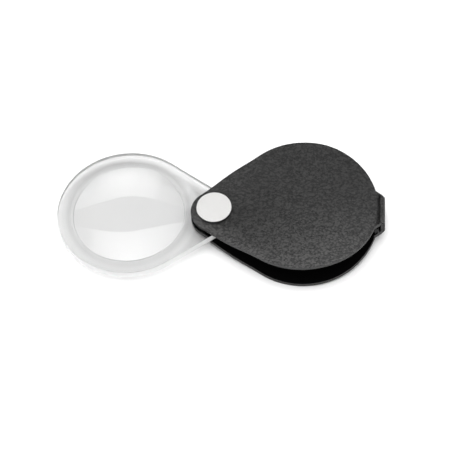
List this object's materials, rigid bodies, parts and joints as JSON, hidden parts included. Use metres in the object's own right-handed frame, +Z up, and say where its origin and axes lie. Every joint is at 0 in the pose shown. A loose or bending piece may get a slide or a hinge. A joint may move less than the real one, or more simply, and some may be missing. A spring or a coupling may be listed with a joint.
{
  "type": "magnifying glass",
  "caption": "Folding pocket magnifier: clear moulded teardrop lens that turns on a capped rivet between the bowed covers of a one-piece leather case.",
  "frame": {"origin": "centre of the flat outer face of the lower rivet cap, on the pivot axis", "axes": "+Z up the pivot axis from the lower cover to the upper cover, +X from the pivot to the spine of the case, -X to the lens, which rests turned fully out, +Y across the case"},
  "size_m": [0.1408, 0.0642, 0.015],
  "materials": {
    "black_leather": "fine pebbled grain, satin",
    "black_lining": "matt, napped",
    "fibre_board": "matt",
    "clear_acrylic": "clear, polished",
    "nylon": "satin",
    "brass": "turned",
    "plated_steel": "zinc plated",
    "bright_nickel": "satin nickel plate"
  },
  "bodies": {
    "case": {"outer_leather": "black_leather", "inner_lining": "black_lining", "upper_board": "fibre_board", "lower_board": "fibre_board", "upper_slip_washer": "nylon", "lower_slip_washer": "nylon", "pivot_bush": "brass", "rivet_socket": "plated_steel", "rivet_post": "plated_steel", "upper_cap": "bright_nickel", "lower_cap": "bright_nickel"},
    "lens": {"lens": "clear_acrylic"}
  },
  "joints": [
    {"name": "lens_swivel", "type": "hinge", "parent": "case", "child": "lens", "pos_m": [0, 0, 0.0057], "axis": [0, 0, 1], "continuous": true}
  ]
}
